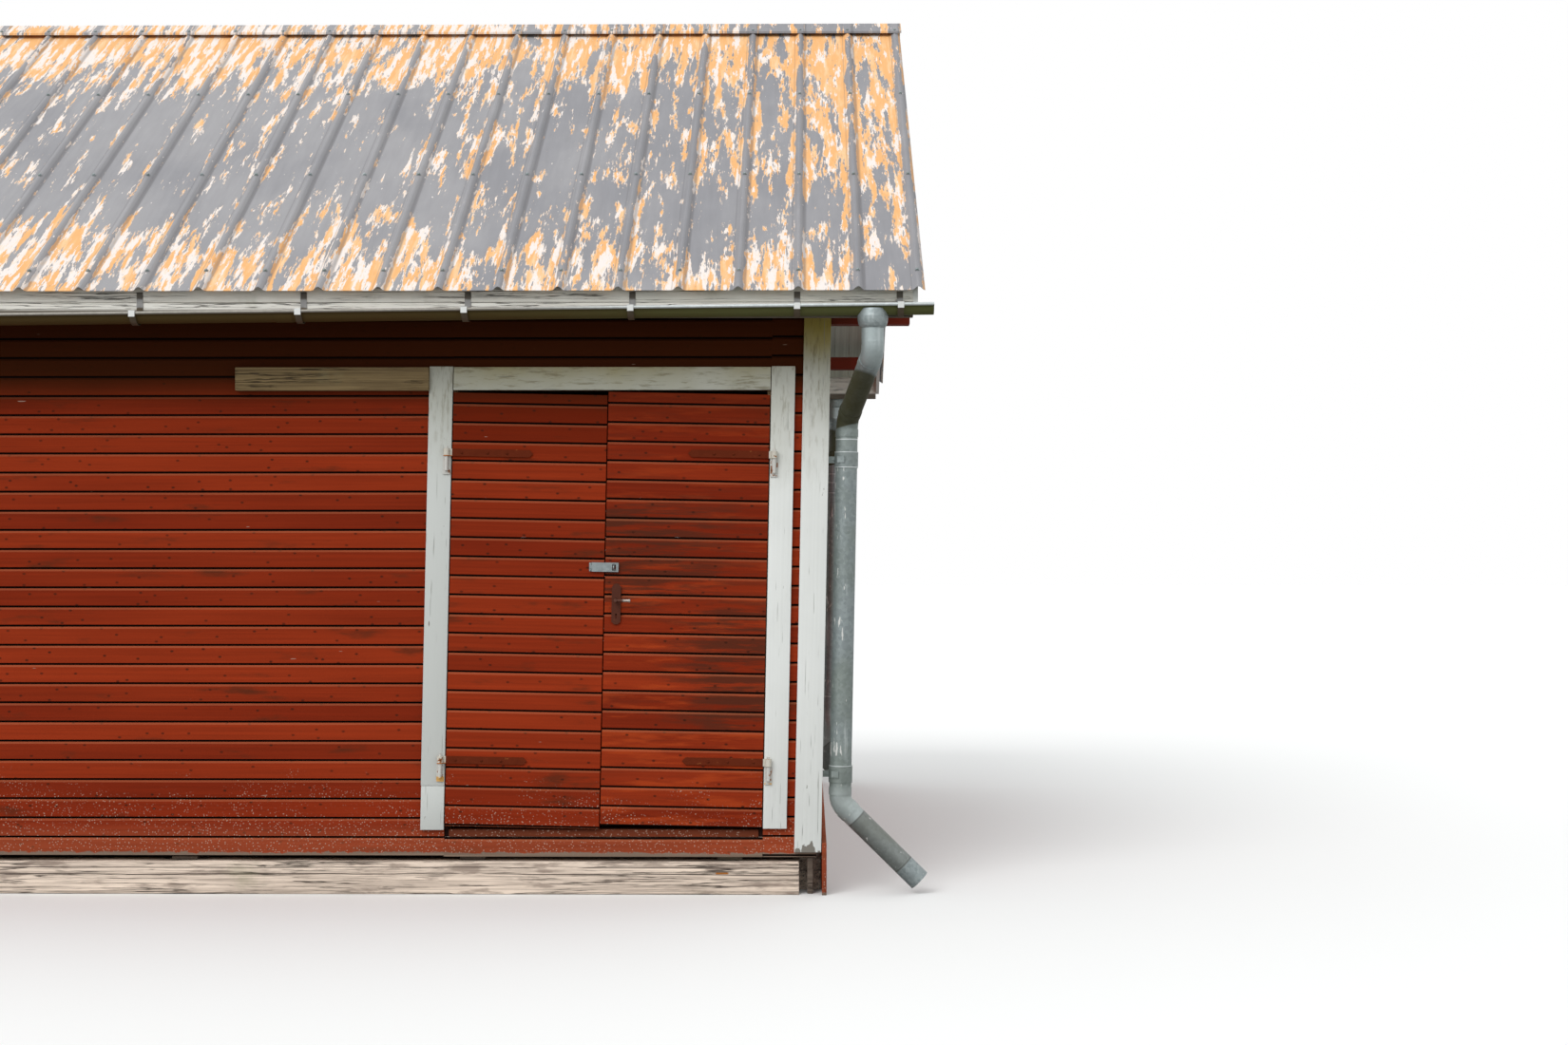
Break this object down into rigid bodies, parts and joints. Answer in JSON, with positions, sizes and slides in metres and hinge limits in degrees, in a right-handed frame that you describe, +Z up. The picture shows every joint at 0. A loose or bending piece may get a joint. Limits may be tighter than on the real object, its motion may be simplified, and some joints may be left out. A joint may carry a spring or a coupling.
{
  "type": "wooden boathouse",
  "caption": "Red boarded boathouse with a ribbed sheet roof, gutters and bent downpipes, and a double door on strap hinges with a lock and a hasp.",
  "frame": {"origin": "ground level at the middle of the building's plan", "axes": "+X along the ridge, to the right as seen from the door side; -Y out of the door side; +Z up"},
  "size_m": [6.9581, 5.694, 4.6402],
  "materials": {
    "red_boards": "red mud paint on shiplap boards, worn and dusty",
    "red_door_boards": "red mud paint on shiplap boards, with dark damp patches",
    "white_boards": "white paint, dusty, greenish under the eaves, flaking at the feet",
    "red_beams": "red mud paint on sawn beams",
    "bare_wood": "unpainted sawn pine, darkened by age",
    "weathered_wood": "grey weathered timber",
    "roof_sheet": "grey paint peeling off an orange undercoat and a pale primer",
    "galvanised_steel": "dull galvanised sheet with a fine spangle",
    "white_iron": "white paint over iron, rusty where it has worn",
    "brown_iron": "brown paint over iron"
  },
  "bodies": {
    "building": {"base_timbers": "weathered_wood", "packing_blocks": "weathered_wood", "plinth_boards": "red_boards", "sill_beams": "weathered_wood", "floor": "bare_wood", "threshold": "red_boards", "front_wall_left": "red_boards", "front_wall_right": "red_boards", "front_wall_over_door": "red_boards", "front_wall_below_door": "red_boards", "rear_wall": "red_boards", "left_gable_wall": "red_boards", "right_gable_wall": "red_boards", "front_frame": "bare_wood", "rear_frame": "bare_wood", "gable_frames": "bare_wood", "door_trim": "white_boards", "ledger_board": "bare_wood", "corner_boards": "white_boards", "wall_plates": "red_beams", "ridge_beam": "red_beams", "purlins": "red_beams", "roof_boards": "bare_wood", "front_roof_sheet": "roof_sheet", "rear_roof_sheet": "roof_sheet", "ridge_cap": "roof_sheet", "fascia_boards": "weathered_wood", "barge_boards": "white_boards", "front_gutter": "galvanised_steel", "rear_gutter": "galvanised_steel", "gutter_brackets": "galvanised_steel", "gutter_funnels": "galvanised_steel", "front_downpipe": "galvanised_steel", "rear_downpipe": "galvanised_steel", "pipe_brackets": "galvanised_steel", "hinge_pintles": "white_iron"},
    "left_door": {"left_door_leaf": "red_door_boards", "left_strap_hinges": "brown_iron", "hasp_hinge": "galvanised_steel"},
    "right_door": {"right_door_leaf": "red_door_boards", "right_strap_hinges": "brown_iron", "lock_plate": "brown_iron", "hasp_staple": "galvanised_steel"},
    "lever": {"door_lever": "brown_iron"},
    "hasp_strap": {"hasp": "galvanised_steel"}
  },
  "joints": [
    {"name": "left_door_hinge", "type": "hinge", "parent": "building", "child": "left_door", "pos_m": [1.20269, -2.459, 0.32048], "axis": [-0.0192, 0, -0.9998], "range_deg": [0, 170]},
    {"name": "right_door_hinge", "type": "hinge", "parent": "building", "child": "right_door", "pos_m": [2.72545, -2.459, 0.30752], "axis": [0.0192, 0, 0.9998], "range_deg": [0, 155]},
    {"name": "lever_turn", "type": "hinge", "parent": "right_door", "child": "lever", "pos_m": [2.02493, -2.442, 1.36716], "axis": [0, 1, 0], "range_deg": [0, 45], "stiffness_Nm_per_rad": 1, "springref_deg": -20.05},
    {"name": "hasp_swing", "type": "hinge", "parent": "left_door", "child": "hasp_strap", "pos_m": [1.90389, -2.448, 1.52224], "axis": [-0.0192, 0, -0.9998], "range_deg": [0, 170]}
  ]
}
